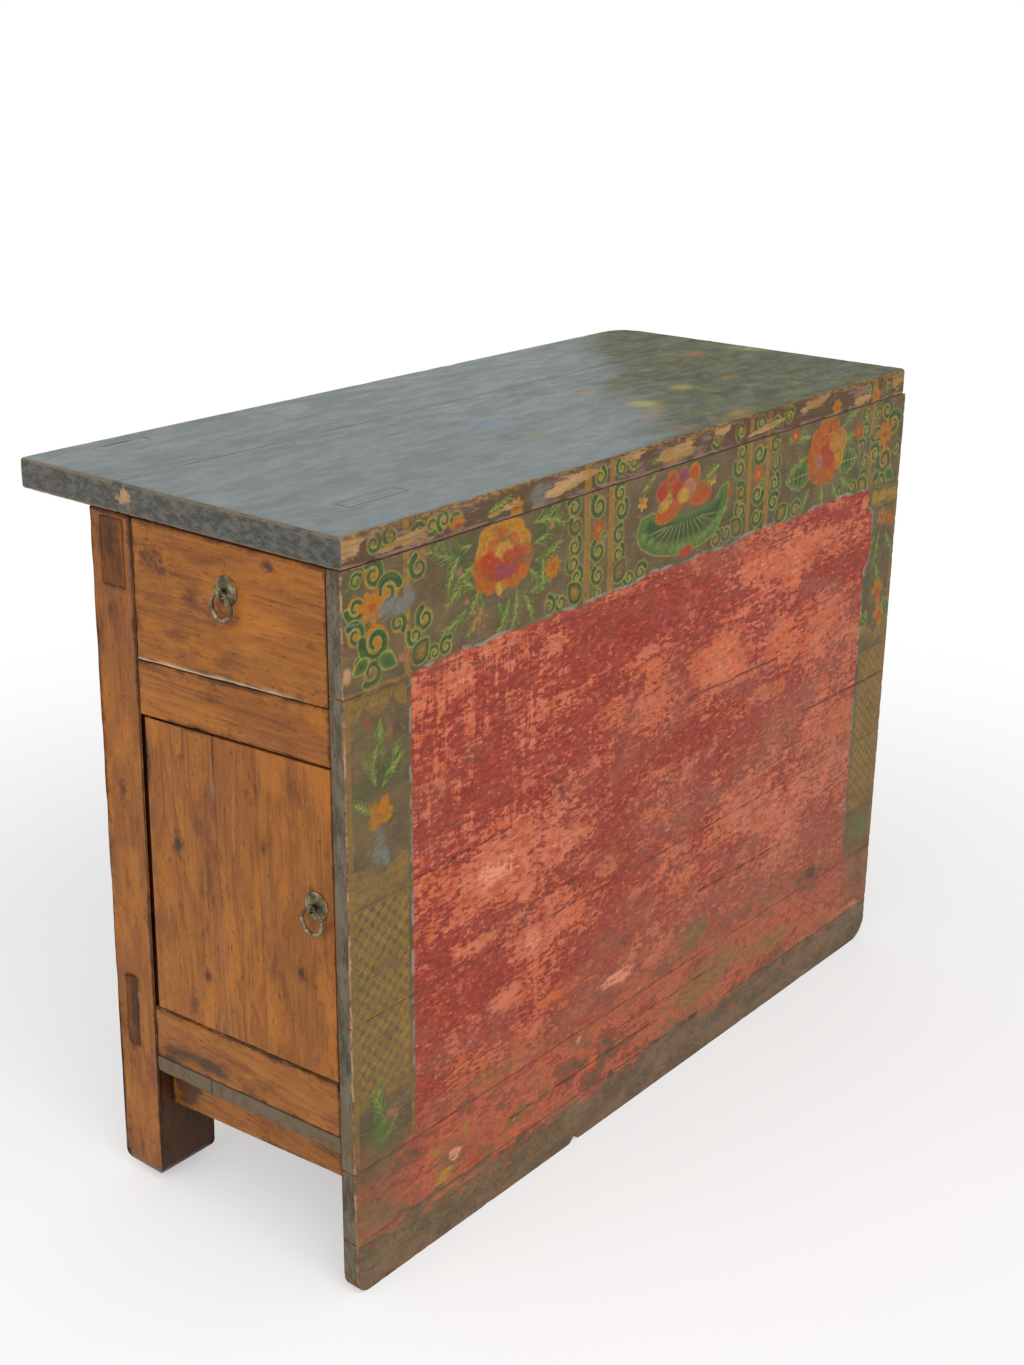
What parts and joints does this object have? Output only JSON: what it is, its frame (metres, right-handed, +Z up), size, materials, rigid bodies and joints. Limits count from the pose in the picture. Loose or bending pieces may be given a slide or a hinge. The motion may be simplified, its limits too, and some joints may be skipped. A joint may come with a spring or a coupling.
{
  "type": "painted side cabinet",
  "caption": "Low cabinet with a painted board front, a plank top that overhangs splayed rear legs, and a drawer over a door in its end, each with a ring pull.",
  "frame": {"origin": "middle of the bounding box, on the floor", "axes": "+X along the painted front, away from the end with the drawer and the door; -Y is the side the painted front faces; +Z up"},
  "size_m": [1.1172, 0.485, 0.86],
  "materials": {
    "painted_wood": "worn paint over boards, satin",
    "grey_painted_wood": "worn blue-grey paint, satin",
    "honey_wood": "aged and waxed",
    "raw_wood": "bare and dull",
    "aged_brass": "aged and grey"
  },
  "bodies": {
    "case": {"back_board_1": "raw_wood", "back_board_2": "raw_wood", "back_board_3": "raw_wood", "back_board_4": "raw_wood", "drawer_bearer": "raw_wood", "drawer_front_guide": "raw_wood", "drawer_front_runner": "raw_wood", "drawer_rail": "honey_wood", "drawer_rear_guide": "raw_wood", "drawer_rear_runner": "raw_wood", "face_board_1": "painted_wood", "face_board_2": "painted_wood", "face_board_3": "painted_wood", "face_board_4": "painted_wood", "face_board_5": "painted_wood", "floor_batten": "raw_wood", "floor_front_board": "raw_wood", "floor_rear_board": "raw_wood", "front_left_post": "raw_wood", "front_middle_post": "raw_wood", "front_right_post": "raw_wood", "left_apron": "honey_wood", "left_bottom_rail": "honey_wood", "rear_bottom_rail": "raw_wood", "rear_left_leg": "honey_wood", "rear_middle_post": "raw_wood", "rear_right_leg": "honey_wood", "rear_top_rail": "raw_wood", "right_apron": "honey_wood", "right_bottom_rail": "honey_wood", "right_end_board_1": "honey_wood", "right_end_board_2": "honey_wood", "right_end_board_3": "honey_wood", "right_middle_rail": "raw_wood", "right_upper_rail": "raw_wood", "top_front_patch": "grey_painted_wood", "top_front_plank": "grey_painted_wood", "top_key_left": "raw_wood", "top_key_middle": "raw_wood", "top_key_right": "raw_wood", "top_rear_patch": "grey_painted_wood", "top_rear_plank": "grey_painted_wood"},
    "drawer": {"drawer_front": "honey_wood", "drawer_front_side": "raw_wood", "drawer_rear_side": "raw_wood", "drawer_back": "raw_wood", "drawer_bottom": "raw_wood", "drawer_pull_plate": "aged_brass", "drawer_pull_pin": "aged_brass"},
    "drawer_ring": {"drawer_pull_ring": "aged_brass"},
    "door": {"door_edge_board": "honey_wood", "door_middle_board": "honey_wood", "door_hinge_board": "honey_wood", "door_lower_batten": "raw_wood", "door_upper_batten": "raw_wood", "door_pull_plate": "aged_brass", "door_pull_pin": "aged_brass"},
    "door_ring": {"door_pull_ring": "aged_brass"}
  },
  "joints": [
    {"name": "drawer_slide", "type": "slide", "parent": "case", "child": "drawer", "axis": [-1, 0, 0], "range_m": [0, 0.28]},
    {"name": "door_hinge", "type": "hinge", "parent": "case", "child": "door", "pos_m": [-0.5364, 0.05678, 0.44], "axis": [0, 0.0194, -0.9998], "range_deg": [0, 95]},
    {"name": "drawer_ring_swing", "type": "hinge", "parent": "drawer", "child": "drawer_ring", "pos_m": [-0.5534, -0.0825, 0.7743], "axis": [0, 1, 0], "range_deg": [-8, 170]},
    {"name": "door_ring_swing", "type": "hinge", "parent": "door", "child": "door_ring", "pos_m": [-0.5534, -0.1975, 0.46071], "axis": [0, 1, 0], "range_deg": [-8, 170]}
  ]
}
